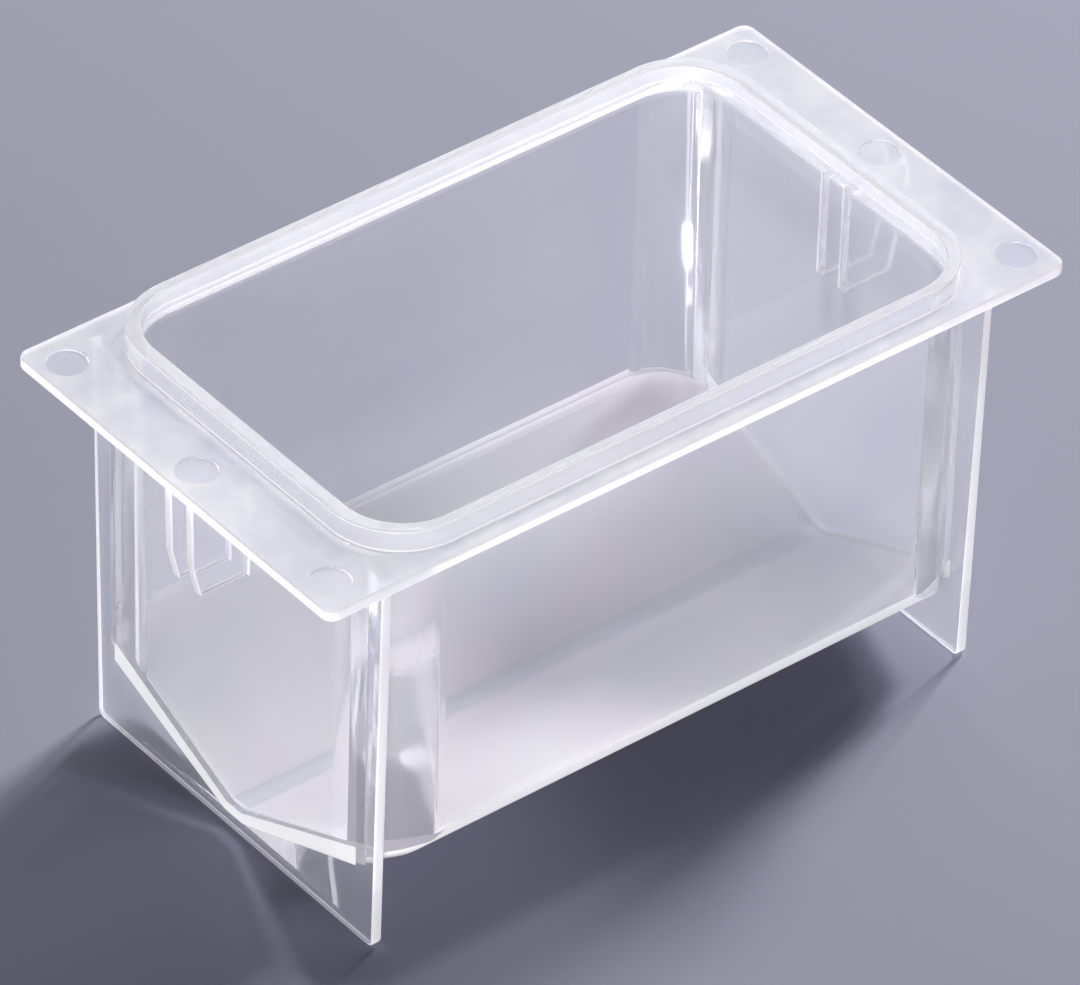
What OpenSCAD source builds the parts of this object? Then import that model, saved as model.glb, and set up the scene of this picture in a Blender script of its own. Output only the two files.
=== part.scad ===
// Reagent reservoir: a clear moulded trough with a V-shaped floor, two end
// plates it stands on, and a flange that widens to a finger ear at each end.
// Millimetres, +Z up, standing on Z = 0, long axis along X, centred on X and Y.

/* [Overall] */
// Length over the two finger ears
overall_l = 108; // [90:1:130]
// Width over the flange
overall_w = 59; // [56:0.5:70]
// Height from the table to the top of the collar
overall_h = 59; // [50:0.5:75]

/* [Trough] */
// Length of the trough over its end walls
body_l = 89.4; // [70:0.2:96]
// Width of the trough over its side walls
body_w = 54.6; // [44:0.2:55]
// Outside radius of the four upright corners
body_r = 9.5; // [4:0.5:14]
// Thickness of the side walls, the floor and the end plates
wall_t = 1.4; // [0.8:0.1:2]
// Thickness of the end walls of the trough
end_t = 1.9; // [1.4:0.1:3]
// Radius of the fillet in the narrow notch between an upright corner and its end plate
notch_r = 0.5; // [0.2:0.1:1]

/* [V floor] */
// Height of the inside of the floor along its lowest line
valley_z = 3.5; // [3:0.1:8]
// Width of the flat strip along the bottom of the V
valley_w = 2.9; // [1:0.1:8]
// Height at which the sloping floor meets the inside of the side walls
bend_z = 13; // [8:0.1:24]
// Inside radius where the sloping floor turns up into the side walls
bend_r = 1; // [0.5:0.1:5]
// Rise of each corner facet above the slope, at the end wall
hip_rise = 0.9; // [0.4:0.1:3]

/* [Flange and ears] */
// Thickness of the flange
flange_t = 1.5; // [1:0.1:3]
// Height of the collar above the flange
collar_h = 2.9; // [1:0.1:6]
// Plan radius of the ear corners
ear_r = 1.5; // [0.5:0.1:6]
// Diameter of the round ejector marks on the ears
mark_d = 5; // [2:0.1:7]
// Depth of the ejector marks
mark_depth = 0.3; // [0.1:0.05:0.6]
// Distance from the centre of a mark to the end edge of its ear
mark_end_gap = 3.8; // [3:0.1:6]
// Distance from the centre of an outer mark to the side edge of its ear
mark_side_gap = 4.8; // [3:0.1:12]

/* [End plates] */
// Draft of each side edge of an end plate, from the flange down to the table
plate_taper = 0.95; // [0:0.05:3]
// Radius of the bottom corners of each end plate
plate_r = 1; // [0.2:0.1:4]

/* [Ear ribs] */
// Centre distance of the two ribs of a pair
rib_pitch = 4; // [3:0.1:12]
// Thickness of each rib
rib_t = 1.2; // [0.8:0.1:2]
// Distance from the outer edge of a rib to the end edge of its ear, under the flange
rib_edge_gap = 1.1; // [0.6:0.1:4]
// Lean of the outer edge of a rib, from the flange down to the cut at its foot
rib_lean = 0.2; // [0:0.1:2]
// Height of a rib below the flange
rib_h = 14.6; // [8:0.1:24]
// Height of the sloping cut at the outer foot of a rib
rib_cut_h = 4.6; // [1:0.1:6]
// Width of the sloping cut at the outer foot of a rib
rib_cut_w = 1.1; // [0.5:0.1:5]

/* [Hidden] */
$fn = 96;
plastic = [0.86, 0.86, 0.92, 0.6];
// overlap that fuses one feature into the next
lap = 0.3;
// how far a cutter runs past the face it cuts
past = 1;
// how far a fillet circle runs under the faces it blends, so that they cross cleanly
under = 0.02;
flange_z = overall_h - collar_h;
flange_low = flange_z - flange_t;
inner_l = body_l - 2 * end_t;
inner_w = body_w - 2 * wall_t;
inner_r = body_r - wall_t;
// slope of the floor, inside face
slope = atan2(bend_z - valley_z, (inner_w - valley_w) / 2);
// the outer faces of the floor run parallel to the inner ones, one wall below
outer_valley_z = valley_z - wall_t;
outer_valley_w = valley_w + 2 * wall_t * tan(slope / 2);
outer_bend_z = outer_valley_z + tan(slope) * (body_w - outer_valley_w) / 2;

// centres of the ejector marks
mark_x = overall_l / 2 - mark_end_gap;
mark_y = overall_w / 2 - mark_side_gap;

// unit vector from a to b
function towards(a, b) = (b - a) / norm(b - a);

// convex outline with each corner turned by its own radius
module rounded_outline(points, radii) {
    n = len(points);
    difference() {
        polygon(points);
        for (i = [0 : n - 1]) if (radii[i] > 0) corner_kite(points, i, radii[i]);
    }
    for (i = [0 : n - 1]) if (radii[i] > 0)
        translate(corner_centre(points, i, radii[i])) circle(r = radii[i]);
}

function before(p, i) = towards(p[i], p[(i + len(p) - 1) % len(p)]);
function after(p, i) = towards(p[i], p[(i + 1) % len(p)]);
function half_angle(p, i) = acos(before(p, i) * after(p, i)) / 2;
function corner_centre(p, i, r) =
    p[i] + (before(p, i) + after(p, i)) / norm(before(p, i) + after(p, i)) * r / sin(half_angle(p, i));

// the area of a corner outside its rounding circle
module corner_kite(p, i, r) {
    back = r / tan(half_angle(p, i));
    polygon([p[i], p[i] + after(p, i) * back, corner_centre(p, i, r), p[i] + before(p, i) * back]);
}

// rectangle with equal corner radii, centred
module plan(l, w, r) {
    rounded_outline([[-l / 2, -w / 2], [l / 2, -w / 2], [l / 2, w / 2], [-l / 2, w / 2]], [r, r, r, r]);
}

// extrude a Y-Z outline along X, centred
module along_x(l) {
    rotate([90, 0, 90]) translate([0, 0, -l / 2]) linear_extrude(l) children();
}

// Y-Z section of the trough: upright sides, sloping floor, flat valley strip
module v_section(w, low_w, side_z, low_z, r, top) {
    rounded_outline(
        [[-w / 2, side_z], [-low_w / 2, low_z], [low_w / 2, low_z], [w / 2, side_z], [w / 2, top], [-w / 2, top]],
        [r, 0, 0, r, 0, 0]);
}

// everything under the four corner facets of the floor
module under_facets() {
    tip = [inner_l / 2, valley_w / 2, valley_z];
    side = [inner_l / 2 - inner_r, inner_w / 2, bend_z];
    end_y = inner_w / 2 - inner_r;
    end = [inner_l / 2, end_y, valley_z + (end_y - valley_w / 2) * tan(slope) + hip_rise];
    square_up = cross(end - tip, side - tip) / norm(cross(end - tip, side - tip));
    reach = overall_l;
    for (mx = [0, 1], my = [0, 1])
        mirror([mx, 0, 0]) mirror([0, my, 0])
            translate(tip)
                rotate([0, acos(square_up[2]), atan2(square_up[1], square_up[0])])
                    translate([-reach / 2, -reach / 2, -reach]) cube([reach, reach, reach]);
}

// fillets that fill the narrow notches between the upright corners and the end plates
module notch_fillets() {
    corner = [body_l / 2 - body_r, body_w / 2 - body_r];
    // the fillet circle runs just under the round of the corner and the inner face of the plate
    run = body_l / 2 - wall_t - notch_r + under - corner[0];
    centre = corner + [run, sqrt(pow(body_r + notch_r - under, 2) - run * run)];
    for (mx = [0, 1], my = [0, 1]) mirror([mx, 0, 0]) mirror([0, my, 0])
        difference() {
            polygon([corner, centre, [body_l / 2, centre[1]], [body_l / 2, corner[1]]]);
            translate(centre) circle(r = notch_r);
        }
}

// outside of the trough, solid
module trough_outside() {
    intersection() {
        union() {
            linear_extrude(overall_h) plan(body_l, body_w, body_r);
            linear_extrude(flange_low + lap) notch_fillets();
        }
        below_bends();
    }
}

// the long prism that gives the trough its V floor
module below_bends() {
    along_x(overall_l)
        v_section(body_w, outer_valley_w, outer_bend_z, outer_valley_z, bend_r + wall_t, overall_h + past);
}

// the liquid space, open at the top
module trough_inside() {
    intersection() {
        linear_extrude(overall_h + past) plan(inner_l, inner_w, inner_r);
        difference() {
            along_x(overall_l)
                v_section(inner_w, valley_w, bend_z, valley_z, bend_r, overall_h + 2 * past);
            under_facets();
        }
    }
}

// end plate: closes the end of the trough and carries it on the table
module end_plate() {
    foot_y = body_w / 2 - plate_taper;
    translate([(body_l - wall_t) / 2, 0, 0]) along_x(wall_t)
        rounded_outline(
            [[-foot_y, 0], [foot_y, 0], [body_w / 2, flange_low + lap], [-body_w / 2, flange_low + lap]],
            [plate_r, plate_r, 0, 0]);
}

// pair of upright ribs under the middle of an ear
module ear_ribs() {
    inner_x = body_l / 2 - lap;
    top_x = overall_l / 2 - rib_edge_gap;
    foot_x = top_x - rib_lean;
    foot_z = flange_low - rib_h;
    for (side = [-1, 1])
        translate([0, side * rib_pitch / 2 + rib_t / 2, 0]) rotate([90, 0, 0]) linear_extrude(rib_t)
            polygon([[inner_x, foot_z],
                     [foot_x - rib_cut_w, foot_z],
                     [foot_x, foot_z + rib_cut_h],
                     [top_x, flange_low + lap],
                     [inner_x, flange_low + lap]]);
}

module reservoir() {
    color(plastic) difference() {
        union() {
            trough_outside();
            translate([0, 0, flange_low]) linear_extrude(flange_t) plan(overall_l, overall_w, ear_r);
            for (turn = [0, 180]) rotate([0, 0, turn]) {
                end_plate();
                ear_ribs();
            }
        }
        trough_inside();
        for (end = [-1, 1], y = [-mark_y, 0, mark_y])
            translate([end * mark_x, y, flange_z - mark_depth]) cylinder(h = mark_depth + past, d = mark_d);
    }
}

reservoir();
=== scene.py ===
# %% [markdown]
# # A clear reagent reservoir
# This lesson finishes one small piece of labware: a trough moulded in natural polypropylene.
# That plastic is clear but never quite colourless. Three things make it readable: edges with a
# small radius that catch the light, a milky haze that differs from surface to surface, and a
# skin that is never perfectly flat. Each gets its own step here.

# %% Load the frame
import math

import bmesh
import bpy
from mathutils import Matrix, Vector


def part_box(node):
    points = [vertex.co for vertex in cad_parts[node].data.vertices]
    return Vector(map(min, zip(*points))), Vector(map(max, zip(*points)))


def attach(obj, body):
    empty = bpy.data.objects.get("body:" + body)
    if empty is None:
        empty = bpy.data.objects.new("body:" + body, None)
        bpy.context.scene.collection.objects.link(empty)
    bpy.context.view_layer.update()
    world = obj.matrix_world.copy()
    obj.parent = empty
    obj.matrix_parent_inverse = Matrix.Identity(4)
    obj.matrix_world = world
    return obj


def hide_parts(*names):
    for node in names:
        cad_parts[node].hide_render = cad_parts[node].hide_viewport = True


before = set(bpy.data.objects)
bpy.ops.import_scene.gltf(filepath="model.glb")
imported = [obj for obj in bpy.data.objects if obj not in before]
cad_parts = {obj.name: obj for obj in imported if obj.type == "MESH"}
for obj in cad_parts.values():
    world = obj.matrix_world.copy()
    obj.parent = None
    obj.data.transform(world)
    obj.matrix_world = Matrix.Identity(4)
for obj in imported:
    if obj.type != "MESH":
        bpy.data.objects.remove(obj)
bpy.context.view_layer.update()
scene = bpy.context.scene
MM = 0.001
lowest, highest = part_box("reservoir")
print("moulding", [round(s / MM, 1) for s in highest - lowest], "mm")

# %% [markdown]
# ## Camera
# The reservoir is seen from above one corner, from far away through a long lens, so its long
# edges stay almost parallel. A bare matrix would do, but a point to aim at, two angles, a
# distance and a slight roll are easier to read and to vary. Distances are in metres, while lens
# and sensor are in millimetres, as on a real camera.

# %% Camera
AIM = Vector((-0.9, -1.1, 30.0)) * MM
CAMERA_TURN = math.radians(230.57)
CAMERA_RISE = math.radians(38.58)
CAMERA_ROLL = math.radians(1.67)
CAMERA_DISTANCE = 1.2365
LENS = 353.5
SENSOR = 36.0
NEAREST_SEEN = 0.05


def direction(turn, rise):
    """Unit vector at an angle around Z from +X, and an angle above the table."""
    return Vector((math.cos(turn) * math.cos(rise), math.sin(turn) * math.cos(rise), math.sin(rise)))


def placed(ob, aim, turn, rise, distance, roll=0.0):
    """Puts a camera or lamp at a distance from aim, looking back at it."""
    away = direction(turn, rise)
    ob.matrix_world = (Matrix.Translation(aim + away * distance)
                       @ away.to_track_quat("Z", "Y").to_matrix().to_4x4()
                       @ Matrix.Rotation(roll, 4, "Z"))
    scene.collection.objects.link(ob)
    return ob


camera = bpy.data.objects.new("camera", bpy.data.cameras.new("camera"))
camera.data.lens = LENS
camera.data.sensor_width = SENSOR
camera.data.clip_start = NEAREST_SEEN
scene.camera = placed(camera, AIM, CAMERA_TURN, CAMERA_RISE, CAMERA_DISTANCE, CAMERA_ROLL)
print("camera at", [round(c, 3) for c in camera.matrix_world.translation])

# %% [markdown]
# ## The moulding, welded
# The frame's mesh has the right shape but comes as loose triangles. Modelling the trough again
# would only risk changing its sizes, so a copy is welded instead, and the triangles that lie in
# one plane are joined into one face: every face is then a surface of the real part.
#
# Some square corners of the construction carry a slit or fin without any thickness. The points
# at its tip are welded back to their nearest neighbour, and whatever has no length left after
# that is dissolved, so the shell is closed everywhere.

# %% A welded copy
WELD = 0.002 * MM
SHORTEST = 0.02 * MM
ONE_PLANE = math.radians(0.2)
# distance of each slit's tip from the middle, and its height
SLIT_TIPS = ((25.9 * MM, 13.0 * MM), (26.35 * MM, 0.0))


def close_slits(bm):
    """Welds the tips of the slits back to the outline that they leave."""
    for y, z in SLIT_TIPS:
        tips = [v for v in bm.verts if math.hypot(abs(v.co.y) - y, v.co.z - z) < WELD]
        back = {}
        for tip in tips:
            linked = [v for v in (e.other_vert(tip) for e in tip.link_edges) if v not in tips]
            if linked:
                back[tip] = min(linked, key=lambda v: (v.co - tip.co).length)
        bmesh.ops.weld_verts(bm, targetmap=back)
        print(len(tips), "tips welded back at a height of", round(z / MM, 1), "mm")


def welded(node):
    """A closed bmesh of a node, with one face for each flat surface."""
    bm = bmesh.new()
    bm.from_mesh(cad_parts[node].data)
    bmesh.ops.remove_doubles(bm, verts=bm.verts, dist=WELD)
    close_slits(bm)
    bmesh.ops.dissolve_degenerate(bm, dist=SHORTEST, edges=bm.edges)
    bmesh.ops.dissolve_limit(bm, angle_limit=ONE_PLANE, verts=bm.verts, edges=bm.edges)
    return bm


bm = welded("reservoir")
print("welded to", len(bm.faces), "faces;", sum(not e.is_manifold for e in bm.edges), "open edges")

# %% [markdown]
# ## Where the floor meets the end plates
# The floor, the end walls and the plates are one piece of plastic, so from outside the end of
# the sloping floor shows through the plate as a white V. There is no edge in the mesh there. A
# mask in the material could draw it, but a few plane cuts across the plate's outer face keep
# the V sharp in the mesh itself. They don't move a single point, and the faces between
# the cuts can then have a finish of their own.

# %% Cut the V into the plates
PLATE_OUT = 44.7 * MM
SAME_PLANE = 0.01 * MM
JOIN_REACH = 23.1 * MM
ALONG_AXIS = 0.99
# one side of the floor: where its slope starts from the middle, the height there, the slope
FLOOR_TOP = (1.45 * MM, 3.5 * MM, math.atan(0.4436))
FLOOR_UNDER = (1.71 * MM, 2.1 * MM, math.atan(0.3885))


def upright_faces(x):
    """The faces of both ends that stand square to X at a distance x from the middle."""
    return [f for f in bm.faces if abs(f.normal.x) > ALONG_AXIS
            and abs(abs(f.calc_center_median().x) - x) < SAME_PLANE]


def cut(faces, point, normal):
    """Splits the faces along a plane; nothing is taken away."""
    edges = dict.fromkeys(e for f in faces for e in f.edges)
    points = dict.fromkeys(v for f in faces for v in f.verts)
    parts = [*faces, *edges, *points]
    bmesh.ops.bisect_plane(bm, geom=parts, dist=WELD, plane_co=point, plane_no=normal)


def cut_along(faces, line, side, lift=0.0):
    """Cuts along one side of a floor line, or a little above it."""
    start, height, slope = line
    point = (0, side * start, height + lift)
    cut(faces, point, (0, -side * math.sin(slope), math.cos(slope)))


def floor_line(line, y):
    """Height of one side of the floor where it meets the plate, at a distance from the middle."""
    start, height, slope = line
    return height + max(0.0, abs(y) - start) * math.tan(slope)


for side in (-1, 1):
    for line in (FLOOR_TOP, FLOOR_UNDER):
        cut_along(upright_faces(PLATE_OUT), line, side)
    cut(upright_faces(PLATE_OUT), (0, side * JOIN_REACH, 0), (0, 1, 0))
for _, height, _ in (FLOOR_TOP, FLOOR_UNDER):
    cut(upright_faces(PLATE_OUT), (0, 0, height), (0, 0, 1))
# The V's faces get a milky finish: partly haze of the thick plastic, partly painted light that the
# floor carries out through the plate.
joins, ends = set(), set()
for face in upright_faces(PLATE_OUT):
    middle = face.calc_center_median_weighted()
    if abs(middle.y) < JOIN_REACH and middle.z > floor_line(FLOOR_UNDER, middle.y):
        (ends if middle.z > floor_line(FLOOR_TOP, middle.y) else joins).add(face)
print("the V is", len(joins), "faces;", len(ends), "faces lie above it")

# %% [markdown]
# Inside the trough the same joint is a small radius at the foot of each end wall, which shows as
# a bright line. It is drawn in the same way, as a narrow strip on both sides of the corner, and
# its milky finish paints that bright line on as a highlight.

# %% Cut the bright line at the foot of the end walls
END_INSIDE = 42.8 * MM
CREASE = 0.45 * MM
CREASE_TOP = 1.2 * CREASE
FLOOR_TILT = 0.8
FLOOR_HIGH = 14 * MM


def floor_faces():
    """The faces of the floor that the liquid stands on."""
    return [f for f in bm.faces if f.normal.z > FLOOR_TILT
            and FLOOR_TOP[1] - WELD < f.calc_center_median().z < FLOOR_HIGH]


for side in (-1, 1):
    cut_along(upright_faces(END_INSIDE), FLOOR_TOP, side, CREASE)
    cut(floor_faces(), (side * (END_INSIDE - CREASE), 0, 0), (1, 0, 0))
creases = set()
for face in upright_faces(END_INSIDE):
    middle = face.calc_center_median_weighted()
    if middle.z < floor_line(FLOOR_TOP, middle.y) + CREASE_TOP:
        creases.add(face)
for face in floor_faces():
    if abs(face.calc_center_median_weighted().x) > END_INSIDE - CREASE:
        creases.add(face)
print("bright line:", len(creases), "faces")

# %% [markdown]
# ## The band at the bend
# Outside, the floor ends in a white band where it bends up into the side walls. Its white is
# partly haze of the thick plastic and partly painted light, which the curve of the bend gathers.
# The band runs on round the four upright corners of the trough. It has no edges of its own there
# either, so it is cut in like the V: level along the side walls, and with the slope round the
# corners.

# %% Cut the band round the corners
CORNER_AT = (35.2 * MM, 17.8 * MM)
CORNER_RADIUS = 9.5 * MM
CORNER_NEAR = 0.1 * MM
CORNER_TURNED = 0.02
SIDE_OUT = 27.3 * MM
BEND_TOP = 14.2 * MM
BAND = 0.9 * MM
COLLAR_LOW = 54.6 * MM


def corner_faces():
    """Outer faces of the four upright corners of the trough."""
    found = []
    for face in bm.faces:
        middle = face.calc_center_median()
        reach = math.hypot(abs(middle.x) - CORNER_AT[0], abs(middle.y) - CORNER_AT[1])
        turned = min(abs(face.normal.x), abs(face.normal.y)) > CORNER_TURNED
        if turned and abs(reach - CORNER_RADIUS) < CORNER_NEAR and middle.z < COLLAR_LOW:
            found.append(face)
    return found


def side_faces():
    """Outer faces of the two side walls."""
    return [f for f in bm.faces if abs(f.normal.y) > ALONG_AXIS
            and abs(abs(f.calc_center_median().y) - SIDE_OUT) < WELD]


for side in (-1, 1):
    cut_along(corner_faces(), FLOOR_UNDER, side, BAND)
cut(side_faces(), (0, 0, BEND_TOP), (0, 0, 1))
bands = {f for f in side_faces() if f.calc_center_median().z < BEND_TOP}
for face in corner_faces():
    middle = face.calc_center_median()
    if middle.z < floor_line(FLOOR_UNDER, middle.y) + BAND:
        bands.add(face)
print("band:", len(bands), "faces")

# %% [markdown]
# ## The collar
# Where the flange joins the walls there is more plastic than elsewhere. It cools slowly, and the
# walls are hazier from there up. Inside, the wall is one flat face all the way, so a level cut
# at the underside of the flange parts the collar from the clear wall below it.

# %% Part the collar from the walls
PLUMB = 0.01


def crosses(face, height):
    """True for an upright face that reaches well past a height on both sides."""
    heights = [v.co.z for v in face.verts]
    return abs(face.normal.z) < PLUMB and min(heights) < height - MM and max(heights) > height + MM


parted = [f for f in bm.faces if crosses(f, COLLAR_LOW)]
cut(parted, (0, 0, COLLAR_LOW), (0, 0, 1))
print("collar parted on", len(parted), "faces")

# %% [markdown]
# ## Which surface is which
# A mould is polished in some places and left with a fine texture in others, and the melt cools
# differently in each. So the faces are sorted into areas first, and each area gets a finish.
# Numbers of faces are no help, since they change whenever the mesh is made again. Here a surface
# is all that runs smoothly together, and its width tells the narrow ones, which show the
# thickness of the plastic, from the broad ones.

# %% Surfaces
SHARP = math.radians(25)


def smooth_surface(first):
    """The faces that run smoothly into one another from the first one."""
    surface, todo = {first}, [first]
    while todo:
        for edge in todo.pop().edges:
            if edge.is_manifold and edge.calc_face_angle(0) < SHARP:
                fresh = [f for f in edge.link_faces if f not in surface]
                surface.update(fresh)
                todo.extend(fresh)
    return surface


def surface_width(surface):
    """Twice the area over the outline: close to the width of a long narrow surface."""
    outline = sum(e.calc_length() for f in surface for e in f.edges if not set(e.link_faces) <= surface)
    return 2 * sum(f.calc_area() for f in surface) / outline if outline else math.inf


surfaces = []
left = set(bm.faces)
while left:
    surfaces.append(smooth_surface(next(f for f in bm.faces if f in left)))
    left -= surfaces[-1]
print(len(surfaces), "surfaces")

# %% [markdown]
# Within those, height and the way a face looks tell the rest: walls, the sloping floor, the
# flat strip along its bottom, the satin ears, the six round ejector marks, the collar and its
# rim. The order of the questions matters, since the faces that were cut above come first.

# %% Name the areas
AREAS = ["wall", "corner", "end", "slope", "under", "valley", "bend", "join",
         "ear", "mark", "collar", "rim", "edge", "line"]
EDGE_WIDTH = 1.75 * MM
FLANGE_TOP = 56.1 * MM
VALLEY_TOP = 4.0 * MM
FEET_TOP = 1.0 * MM
MARK_LOW = 55.8 * MM
MARK_AT = (50.2 * MM, 24.7 * MM)
MARK_REACH = 2.8 * MM
GENTLE = 0.88
UPRIGHT = 0.03


def near_mark(face):
    """True for an ejector mark and the low step round it."""
    middle = face.calc_center_median()
    x, y = abs(middle.x) - MARK_AT[0], abs(middle.y)
    reach = min(math.hypot(x, y), math.hypot(x, y - MARK_AT[1]))
    return middle.z > MARK_LOW - WELD and reach < MARK_REACH


def broad_area(face):
    """The area of a face that belongs to a broad surface."""
    middle, up = face.calc_center_median().z, abs(face.normal.z)
    if up > ALONG_AXIS and middle > FLANGE_TOP - WELD:
        return "ear"
    if up > ALONG_AXIS and middle < VALLEY_TOP:
        return "valley"
    if face.normal.z > UPRIGHT and middle < BEND_TOP:
        return "slope"
    if face.normal.z < -UPRIGHT and FEET_TOP < middle < BEND_TOP:
        return "under" if up > GENTLE else "bend"
    return "corner" if min(abs(face.normal.x), abs(face.normal.y)) > UPRIGHT else "wall"


def area_of(face, width):
    """The area of a face, from its place and the width of its surface."""
    middle, up = face.calc_center_median(), abs(face.normal.z)
    narrow = width < EDGE_WIDTH
    if face in joins or face in creases:
        return "join"
    if face in bands:
        return "bend"
    if middle.z > COLLAR_LOW and up < UPRIGHT and not narrow:
        return "collar"
    if face in ends or abs(abs(middle.x) - END_INSIDE) < WELD and not narrow:
        return "end"
    if near_mark(face):
        return "mark"
    if narrow:
        return "rim" if up > ALONG_AXIS and middle.z > FLANGE_TOP + WELD else "edge"
    return broad_area(face)


for surface in surfaces:
    width = surface_width(surface)
    for face in surface:
        face.material_index = AREAS.index(area_of(face, width))
print({name: sum(f.material_index == i for f in bm.faces) for i, name in enumerate(AREAS)})

# %% [markdown]
# ## Moulded edges
# No mould leaves a knife edge: where two faces meet there is a radius of a few tenths of a
# millimetre. On clear plastic that radius is what the eye sees first, as a thin white line,
# since it gathers light from everywhere. A Bevel modifier would round everything alike. The
# operator lets each edge be chosen, and the new faces join an area of their own.
#
# The operator holds back all the edges it is given to what the tightest of them has room for.
# So the edges go in as chains that touch each other, and no chain limits another. Edges that
# end among very short ones have no room at all, and those of the floor show as faint lines on
# the real part, so both kinds stay as they are. The steps of the ejector marks are so low that
# they get half the radius.

# %% Choose the edges
SHORT_EDGE = 0.09 * MM
FLOOR_END = 42.9 * MM
FLOOR_BENT = 15 * MM


def crowded(edge):
    """Whether the edge ends among edges so short that a bevel has no room."""
    return min(e.calc_length() for v in edge.verts for e in v.link_edges) < SHORT_EDGE


def in_floor(edge):
    """Whether the edge belongs to the floor or its bends, inside or under the trough."""
    return all(abs(v.co.x) < FLOOR_END and v.co.z < FLOOR_BENT for v in edge.verts)


def chains(edges):
    """Groups of edges that touch each other."""
    left, found = set(edges), []
    for first in edges:
        if first not in left:
            continue
        left.discard(first)
        group, queue = [], [first]
        while queue:
            edge = queue.pop()
            group.append(edge)
            near = [e for v in edge.verts for e in v.link_edges if e in left]
            queue += dict.fromkeys(near)
            left.difference_update(near)
        found.append(group)
    return found


sharp = [e for e in bm.edges if e.calc_face_angle(0) > SHARP]
steps = [e for e in sharp if any(near_mark(f) for f in e.link_faces)]
others = [e for e in sharp if not any(near_mark(f) for f in e.link_faces)]
print(len(sharp), "sharp edges,", len(steps), "of them round the marks")

# %% Round the edges
EDGE_ROUND = 0.22 * MM
MARK_ROUND = 0.1 * MM


def rounded(edges, radius):
    """Bevels the edges and puts the new faces in the area of white lines, a painted highlight."""
    made = bmesh.ops.bevel(bm, geom=edges, offset=radius, offset_type="OFFSET", affect="EDGES",
                           segments=2, profile=0.5, material=-1, clamp_overlap=True)
    for face in made["faces"]:
        face.material_index = AREAS.index("mark" if near_mark(face) else "line")
    widths = [2 * f.calc_area() / f.calc_perimeter() for f in made["faces"]]
    print(len(edges), "edges; widest new face", round(max(widths, default=0) / MM, 3), "mm")


rounded(steps, MARK_ROUND)
others = [e for e in others if e.is_valid and not crowded(e) and not in_floor(e)]
print(len(others), "other edges have room")
for chain in chains(others):
    rounded(chain, EDGE_ROUND)

# %% [markdown]
# ## The body
# Smooth shading lets the light run round the small radii. On its own it would also bend the
# shading of the large flat faces, so a Weighted Normal modifier lets the large faces decide.

# %% The body
LARGE_FACES_DECIDE = 100

for face in bm.faces:
    face.smooth = True
mesh = bpy.data.meshes.new("reservoir_body")
bm.to_mesh(mesh)
bm.free()
body = bpy.data.objects.new("reservoir_body", mesh)
scene.collection.objects.link(body)
flat = body.modifiers.new("flat_faces_stay_flat", "WEIGHTED_NORMAL")
flat.mode = "FACE_AREA"
flat.weight = LARGE_FACES_DECIDE
flat.keep_sharp = False
print(len(mesh.polygons), "faces")

# %% [markdown]
# ## Melt
# Two effects are shared by all the finishes, so each is a node group with values of its own in
# every material. The first is the melt: the skin waves by a few microns over a centimetre, and
# the haze is patchy where the plastic cooled unevenly. Both come from noise on the object's own
# coordinates, which stays in place on the part and needs no unwrapping.

# %% Helpers for node trees
def feed(tree, socket, value):
    """Links an output to a socket, or sets the socket to a plain value."""
    if isinstance(value, bpy.types.NodeSocket):
        tree.links.new(value, socket)
    else:
        socket.default_value = value


def new_group(name, inputs, outputs):
    """A node group with its sockets: inputs as name, kind and value, outputs as name and kind."""
    group = bpy.data.node_groups.new(name, "ShaderNodeTree")
    for label, kind, value in inputs:
        group.interface.new_socket(label, in_out="INPUT", socket_type=kind).default_value = value
    for label, kind in outputs:
        group.interface.new_socket(label, in_out="OUTPUT", socket_type=kind)
    return group, group.nodes.new("NodeGroupInput"), group.nodes.new("NodeGroupOutput")


def noise(tree, scale, detail, place):
    """A noise pattern; scale is a number or a socket, in waves to the metre."""
    node = tree.nodes.new("ShaderNodeTexNoise")
    feed(tree, node.inputs["Vector"], place)
    feed(tree, node.inputs["Scale"], scale)
    node.inputs["Detail"].default_value = detail
    return node.outputs["Fac"]


def blend(tree, kind, a, b, factor):
    """A Mix node of colours or floats, from sockets or values."""
    node = tree.nodes.new("ShaderNodeMix")
    node.data_type = kind
    first, result = {"FLOAT": (2, 0), "RGBA": (6, 2)}[kind]
    feed(tree, node.inputs[0], factor)
    feed(tree, node.inputs[first], a)
    feed(tree, node.inputs[first + 1], b)
    return node.outputs[result]


print("helpers ready")

# %% Node group: melt
PATCH_SCALE = 45.0
PATCH_DETAIL = 3
PATCH_CONTRAST = (0.35, 0.65)
WAVES = 90
WAVE_DETAIL = 1
PLAIN = (1, 1, 1, 1)


def melt_group():
    """Color goes from Tint to Cloud in soft patches; Height is the waving of the skin."""
    group, inside, outside = new_group(
        "melt",
        [("Tint", "NodeSocketColor", PLAIN), ("Cloud", "NodeSocketColor", PLAIN),
         ("Patches", "NodeSocketFloat", PATCH_SCALE)],
        [("Color", "NodeSocketColor"), ("Height", "NodeSocketFloat")])
    place = group.nodes.new("ShaderNodeTexCoord").outputs["Object"]
    spread = group.nodes.new("ShaderNodeMapRange")
    spread.inputs["From Min"].default_value, spread.inputs["From Max"].default_value = PATCH_CONTRAST
    feed(group, spread.inputs["Value"], noise(group, inside.outputs["Patches"], PATCH_DETAIL, place))
    colour = blend(group, "RGBA", inside.outputs["Tint"], inside.outputs["Cloud"], spread.outputs[0])
    feed(group, outside.inputs["Color"], colour)
    feed(group, outside.inputs["Height"], noise(group, WAVES, WAVE_DETAIL, place))
    return group


melt = melt_group()
print("group", melt.name, "with", len(melt.nodes), "nodes")

# %% [markdown]
# ## Satin
# The second effect is the fine texture of the mould and the marks of handling, which make a
# surface satin. Roughness varies slowly over the part between two values, and a grain of less
# than half a millimetre gives the bump of the textured ears.

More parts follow.
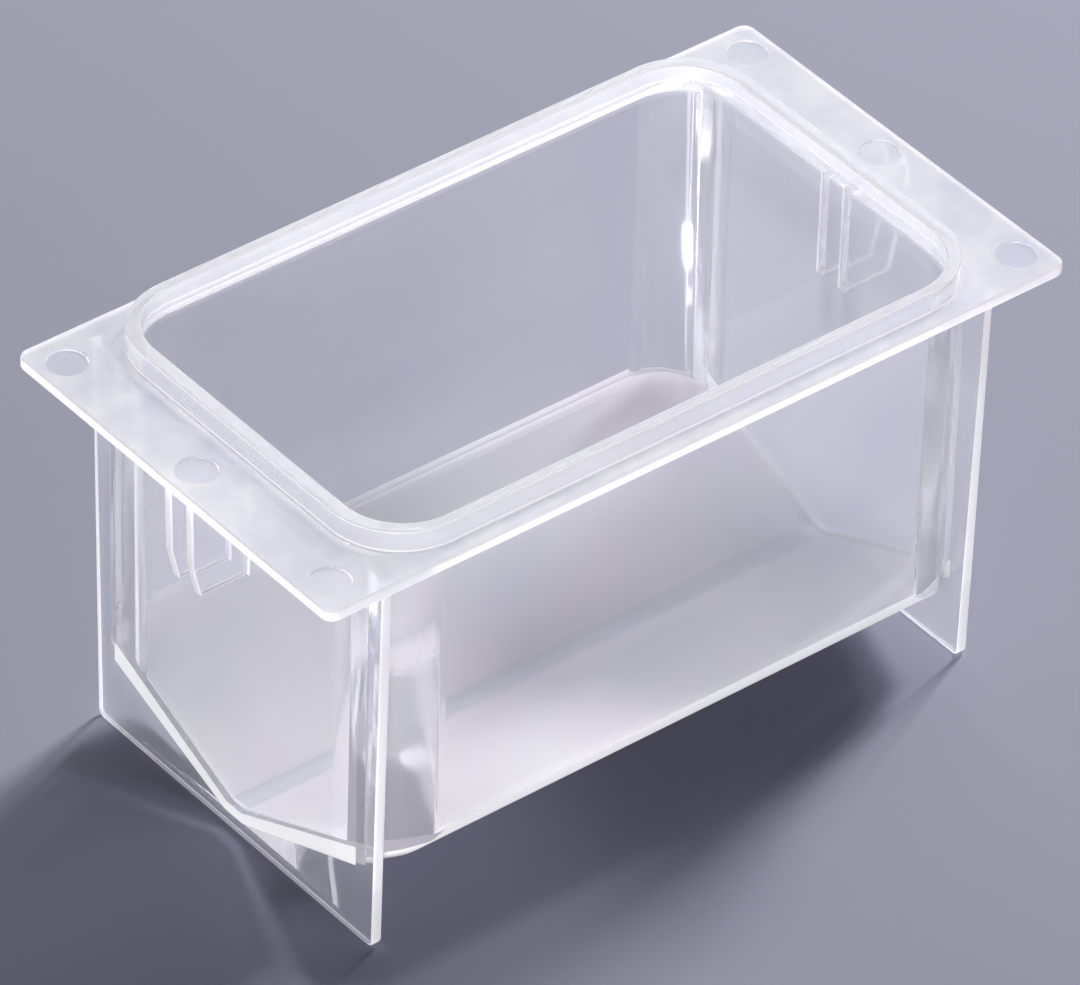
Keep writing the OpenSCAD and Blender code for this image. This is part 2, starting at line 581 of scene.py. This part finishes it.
# %% Node group: satin
SMOOTHEST = 0.05
ROUGHEST = 0.2
WEAR = 160
WEAR_DETAIL = 4
GRAIN = 2500.0
GRAIN_DETAIL = 2


def satin_group():
    """Roughness wanders from Smooth to Rough; Height is the grain of the mould."""
    group, inside, outside = new_group(
        "satin",
        [("Smooth", "NodeSocketFloat", SMOOTHEST), ("Rough", "NodeSocketFloat", ROUGHEST),
         ("Grain", "NodeSocketFloat", GRAIN)],
        [("Roughness", "NodeSocketFloat"), ("Height", "NodeSocketFloat")])
    place = group.nodes.new("ShaderNodeTexCoord").outputs["Object"]
    wear = noise(group, WEAR, WEAR_DETAIL, place)
    roughness = blend(group, "FLOAT", inside.outputs["Smooth"], inside.outputs["Rough"], wear)
    feed(group, outside.inputs["Roughness"], roughness)
    feed(group, outside.inputs["Height"], noise(group, inside.outputs["Grain"], GRAIN_DETAIL, place))
    return group


satin = satin_group()
print("group", satin.name, "with", len(satin.nodes), "nodes")

# %% [markdown]
# ## Lamps through clear plastic
# A renderer takes clear plastic as opaque to its lamps, and the shadow would be black. Tracing
# the real paths of that light, as caustics, is slow and grainy. So a tinted transparent shader
# will stand in for shadow rays, and for the diffuse rays that leave the table and the cloudy
# surfaces. It darkens where light would graze a wall, since a real wall mirrors that light away,
# and this is what gives the shadow its dark outlines.

# %% Lamps through clear plastic
GRAZING = (0.60, 1.10)
EVEN = 0.5
DARK = (0, 0, 0, 1)


def lamp_light(tree, through):
    """A transparent shader for lamps: its colour straight on, darker at grazing angles."""
    facing = tree.nodes.new("ShaderNodeLayerWeight")
    facing.inputs["Blend"].default_value = EVEN
    grazing = tree.nodes.new("ShaderNodeMapRange")
    grazing.interpolation_type = "SMOOTHSTEP"
    grazing.inputs["From Min"].default_value, grazing.inputs["From Max"].default_value = GRAZING
    feed(tree, grazing.inputs["Value"], facing.outputs["Facing"])
    lamps = tree.nodes.new("ShaderNodeBsdfTransparent")
    feed(tree, lamps.inputs["Color"], blend(tree, "RGBA", (*through, 1), DARK, grazing.outputs[0]))
    return lamps.outputs[0]


print("lamps dim from a facing of", GRAZING[0], "on")

# %% [markdown]
# ## Cloudy polypropylene
# Glass alone looks too clean. Natural polypropylene sends part of the light back and passes
# part of it on scattered. A volume would do that too, but slowly and with much grain, so each
# surface mixes three shaders instead: a refracting skin, a diffuse share for light from the
# front and a translucent share for light from behind. The waves of the melt and the grain of
# the mould bump only the skin.

# %% Cloudy polypropylene
IOR = 1.49
WAVE_DEPTH = 0.012 * MM
GRAIN_DEPTH = 0.004 * MM


def bump(tree, height, depth, before=None):
    """The normal after a bump of this depth, on top of an earlier one if there is one."""
    node = tree.nodes.new("ShaderNodeBump")
    node.inputs["Distance"].default_value = depth
    feed(tree, node.inputs["Height"], height)
    if before:
        feed(tree, node.inputs["Normal"], before)
    return node.outputs["Normal"]


def mixed(tree, factor, a, b):
    """A Mix Shader from a to b; factor is a number or a socket."""
    node = tree.nodes.new("ShaderNodeMixShader")
    feed(tree, node.inputs[0], factor)
    feed(tree, node.inputs[1], a)
    feed(tree, node.inputs[2], b)
    return node.outputs[0]


def plastic(name, milk, tint, cloud, rough, through, glow=EVEN, patches=PATCH_SCALE, grain=0.0):
    """milk: share of light that is scattered; glow: share of that which goes on through."""
    material = bpy.data.materials.new(name)
    material.use_nodes = True
    tree = material.node_tree
    tree.nodes.clear()
    flow = tree.nodes.new("ShaderNodeGroup")
    flow.node_tree = melt
    flow.inputs["Tint"].default_value = (*tint, 1)
    flow.inputs["Cloud"].default_value = (*cloud, 1)
    flow.inputs["Patches"].default_value = patches
    skin = tree.nodes.new("ShaderNodeGroup")
    skin.node_tree = satin
    skin.inputs["Smooth"].default_value, skin.inputs["Rough"].default_value = rough
    normal = bump(tree, flow.outputs["Height"], WAVE_DEPTH)
    if grain:
        normal = bump(tree, skin.outputs["Height"], GRAIN_DEPTH * grain, normal)
    clear = tree.nodes.new("ShaderNodeBsdfPrincipled")
    clear.inputs["IOR"].default_value = IOR
    clear.inputs["Transmission Weight"].default_value = 1.0
    feed(tree, clear.inputs["Roughness"], skin.outputs["Roughness"])
    feed(tree, clear.inputs["Normal"], normal)
    front = tree.nodes.new("ShaderNodeBsdfDiffuse")
    behind = tree.nodes.new("ShaderNodeBsdfTranslucent")
    for socket in (clear.inputs["Base Color"], front.inputs["Color"], behind.inputs["Color"]):
        feed(tree, socket, flow.outputs["Color"])
    lamps = lamp_light(tree, through)
    path = tree.nodes.new("ShaderNodeLightPath")
    haze = mixed(tree, glow, front.outputs[0], behind.outputs[0])
    passed = mixed(tree, path.outputs["Is Diffuse Ray"], clear.outputs[0], lamps)
    seen = mixed(tree, milk, passed, haze)
    out = tree.nodes.new("ShaderNodeOutputMaterial")
    feed(tree, out.inputs["Surface"], mixed(tree, path.outputs["Is Shadow Ray"], seen, lamps))
    return material


finishes = {}
print("plastic with a refractive index of", IOR)

# %% [markdown]
# ## Walls, corners and ends
# The walls are the clearest part: hardly any milk, and a polished skin. The round corners are a
# touch hazier, because the melt turns there. The end walls are backed by the plates, so they
# hold more haze and let less lamp light through. Each is one call, with its own values.

# %% Finishes of the upright surfaces
WHITE = (0.97, 0.97, 0.98)
COOL = (0.92, 0.92, 0.96)
THROUGH = (0.90, 0.90, 0.92)
END_THROUGH = (0.46, 0.46, 0.50)
POLISHED = (0.04, 0.10)

finishes["wall"] = plastic("clear_wall", milk=0.09, tint=COOL, cloud=WHITE,
                           rough=POLISHED, through=THROUGH)
finishes["corner"] = plastic("soft_corner", milk=0.12, tint=COOL, cloud=WHITE,
                             rough=(0.07, 0.14), through=THROUGH)
finishes["end"] = plastic("cloudy_end", milk=0.20, tint=COOL, cloud=WHITE,
                          rough=POLISHED, through=END_THROUGH)
print("upright finishes", [m.name for m in finishes.values()])

# %% [markdown]
# ## The floor
# The floor is the milkiest of the broad surfaces, with a faint warm tint, and its flat strip is
# a little clearer. It sends most of its light back up (a low glow), or it would look lit from
# below. The bend and the joints are almost white. That is partly haze, because the eye looks
# along the thickness of the plastic there, and partly painted light: what the bend gathers, what
# the floor carries out through the plates, and the highlight of the radius at the foot of the end
# walls. All of them dim the lamps, which keeps the shadow under the trough dark.

# %% Finishes of the floor
WARM = (0.995, 0.915, 0.965)
ROSY = (0.99, 0.945, 0.965)
DENSE = (0.42, 0.42, 0.45)
FINE = (0.06, 0.14)
FINEST = (0.06, 0.12)

finishes["slope"] = plastic("cloudy_slope", milk=0.80, tint=WARM, cloud=WHITE,
                            rough=(0.10, 0.20), through=DENSE, glow=0.2)
finishes["under"] = plastic("cloudy_underside", milk=0.25, tint=WARM, cloud=WHITE,
                            rough=FINE, through=DENSE)
finishes["valley"] = plastic("polished_valley", milk=0.60, tint=COOL, cloud=COOL,
                             rough=(0.03, 0.06), through=DENSE, glow=0.3)
# The bend's finish is partly painted light, which the curve of the bend gathers.
finishes["bend"] = plastic("bend_haze_and_painted_light", milk=0.92, tint=ROSY, cloud=WHITE,
                           rough=FINE, through=DENSE, glow=0.15)
# The joints' finish paints light on: the glow of the V and the highlight at the foot of the end walls.
finishes["join"] = plastic("join_haze_and_painted_light", milk=0.86, tint=WHITE, cloud=WHITE,
                           rough=FINEST, through=DENSE, glow=0.15)
print("finishes so far", len(finishes))

# %% [markdown]
# ## Ears, marks, collar and rim
# The ears are satin: a fine grain, and small cloudy patches between grey and white. The ejector
# marks, where a pin pushed the part out of the mould, have no grain but are duller. Their tint is
# a little darker and bluer: a painted shade, for the shaded table that shows through them. The
# collar and its rim cool slowly beside the flange, so they are hazier than the walls.

# %% Finishes of the ears and the collar
# The marks' darker, bluer tint below is painted shade, for the shaded table seen through them.
BLUISH_PAINTED_SHADE = (0.80, 0.82, 0.92)
GREYED = (0.83, 0.84, 0.91)
SOFT = (0.12, 0.24)
SMALL_PATCHES = 170
MIDDLING_PATCHES = 90

finishes["ear"] = plastic("satin_ear", milk=0.62, tint=GREYED, cloud=WHITE, rough=(0.12, 0.30),
                          through=THROUGH, glow=0.34, patches=SMALL_PATCHES, grain=1.0)
# Painted shade: the marks' tint is darker and bluer, like the shaded table seen through them.
finishes["mark"] = plastic("ejector_mark", milk=0.30, tint=BLUISH_PAINTED_SHADE, cloud=COOL,
                           rough=(0.26, 0.40), through=THROUGH)
finishes["collar"] = plastic("hazy_collar", milk=0.20, tint=COOL, cloud=WHITE,
                             rough=SOFT, through=THROUGH, patches=MIDDLING_PATCHES)
finishes["rim"] = plastic("hazy_rim", milk=0.45, tint=COOL, cloud=WHITE,
                          rough=SOFT, through=THROUGH, patches=MIDDLING_PATCHES)
print("finishes so far", len(finishes))

# %% [markdown]
# ## Edges
# Light that enters a clear wall is mirrored along inside it and comes out at its edges, so they
# look white. Following every such path would take far too many bounces. A milky finish on the
# narrow faces, and a milkier one on the small radii, paints that light on at once: a painted
# glow on the edges and a painted highlight on the radii.

# %% Finishes of the edges
# The narrow faces get a painted glow, and the radii below a painted highlight.
finishes["edge"] = plastic("edge_painted_glow", milk=0.85, tint=ROSY, cloud=WHITE,
                           rough=FINEST, through=DENSE)
finishes["line"] = plastic("radius_painted_highlight", milk=0.92, tint=ROSY, cloud=WHITE,
                           rough=FINEST, through=DENSE)
for area in AREAS:
    mesh.materials.append(finishes[area])
print("finishes", [m.name for m in mesh.materials])

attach(body, "root")
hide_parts("reservoir")

# %% [markdown]
# ## Table and background
# The reservoir stands on a plain pale table. A slightly cool grey keeps the scene light and
# still lets the white lines of the plastic stand out. The disc is far wider than the view, so
# it needs no backdrop.

# %% Table
PALE = (0.345, 0.352, 0.435, 1)
TABLE_RADIUS = 3.0
TABLE_SIDES = 64
TABLE_DROP = 0.02 * MM
TABLE_ROUGH = 0.9
TABLE_SHEEN = 0.1

bm = bmesh.new()
bmesh.ops.create_circle(bm, cap_ends=True, segments=TABLE_SIDES, radius=TABLE_RADIUS)
bmesh.ops.translate(bm, verts=bm.verts, vec=(0, 0, -TABLE_DROP))
table_mesh = bpy.data.meshes.new("table")
bm.to_mesh(table_mesh)
bm.free()
table = bpy.data.objects.new("table", table_mesh)
scene.collection.objects.link(table)
pale = bpy.data.materials.new("pale_table")
pale.use_nodes = True
paint = pale.node_tree.nodes["Principled BSDF"]
paint.inputs["Base Color"].default_value = PALE
paint.inputs["Roughness"].default_value = TABLE_ROUGH
paint.inputs["Specular IOR Level"].default_value = TABLE_SHEEN
table_mesh.materials.append(pale)
print("table", 2 * TABLE_RADIUS, "m across")

# %% [markdown]
# ## Light
# One small softbox from the right throws the soft shadow. A wide one behind the reservoir lies
# in the mirror direction of the ears and the rim, and gives them their sheen. Two more stand
# low, just above the table, and light the upright walls and the white edges. On the table they
# would wash the shadow out, so light linking lets them reach nothing but the reservoir.
# Together with the room they add up to plain daylight, at which a colour comes out about as it
# is written.

# %% Lamps
MIDDLE = Vector((0, 0, 0.03))
LOW = 6.5


def softbox(name, turn, rise, distance, side, watts):
    """A square lamp that looks at the reservoir; turn and rise in degrees."""
    lamp = bpy.data.lights.new(name, "AREA")
    lamp.shape = "SQUARE"
    lamp.size = side
    lamp.energy = watts
    ob = bpy.data.objects.new(name, lamp)
    return placed(ob, MIDDLE, math.radians(turn), math.radians(rise), distance)


softbox("key", turn=16, rise=42, distance=1.2, side=0.20, watts=15.5)
softbox("back", turn=50, rise=38, distance=1.3, side=0.70, watts=3.3)
low_lamps = [softbox("low_front", turn=225, rise=LOW, distance=1.8, side=0.38, watts=31.0),
             softbox("low_back", turn=112, rise=LOW, distance=1.8, side=0.38, watts=19.0)]
reached = bpy.data.collections.new("lit_by_low_lamps")
reached.objects.link(body)
for lamp in low_lamps:
    lamp.light_linking.receiver_collection = reached

# %% [markdown]
# ## The room
# A little light comes from all around. The camera sees the pale background instead, and so do
# mirrored and refracted rays, so that the clear walls show it too. Diffuse Depth counts the
# scattering surfaces that a ray has met on its way. Once there is one, the ray no longer counts
# as mirrored or refracted, or the background would light the object after all.

# %% Room
ROOM = (0.8, 0.82, 0.9, 1)
ROOM_STRENGTH = 0.05
NONE_MET = 0.5


def combined(tree, operation, a, b):
    """A Math node of two values, each a number or a socket."""
    node = tree.nodes.new("ShaderNodeMath")
    node.operation = operation
    feed(tree, node.inputs[0], a)
    feed(tree, node.inputs[1], b)
    return node.outputs[0]


def room_world():
    """Dim light from all around; the camera and the plastic see the pale background instead."""
    world = bpy.data.worlds.new("room")
    world.use_nodes = True
    tree = world.node_tree
    tree.nodes.clear()
    light, shown = (tree.nodes.new("ShaderNodeBackground") for _ in range(2))
    light.inputs["Color"].default_value = ROOM
    light.inputs["Strength"].default_value = ROOM_STRENGTH
    shown.inputs["Color"].default_value = PALE
    path = tree.nodes.new("ShaderNodeLightPath")
    seen = path.outputs["Is Camera Ray"]
    for ray in ("Is Glossy Ray", "Is Transmission Ray"):
        seen = combined(tree, "MAXIMUM", seen, path.outputs[ray])
    unscattered = combined(tree, "LESS_THAN", path.outputs["Diffuse Depth"], NONE_MET)
    seen = combined(tree, "MULTIPLY", seen, unscattered)
    out = tree.nodes.new("ShaderNodeOutputWorld")
    feed(tree, out.inputs["Surface"], mixed(tree, seen, light.outputs[0], shown.outputs[0]))
    return world


scene.world = room_world()
scene.view_settings.view_transform = "Standard"
print("room light", ROOM_STRENGTH, "of the background's")

# %% [markdown]
# ## Light paths
# Inside a clear wall light is mirrored many times before it comes out at an edge. With few
# bounces those edges go grey, so the path may be long.

# %% Light paths
LONGEST_PATH = 32
MIRRORED = 16
PASSED_ON = 24

scene.cycles.max_bounces = LONGEST_PATH
scene.cycles.glossy_bounces = MIRRORED
scene.cycles.transmission_bounces = PASSED_ON
scene.cycles.transparent_max_bounces = PASSED_ON
print("up to", LONGEST_PATH, "bounces")
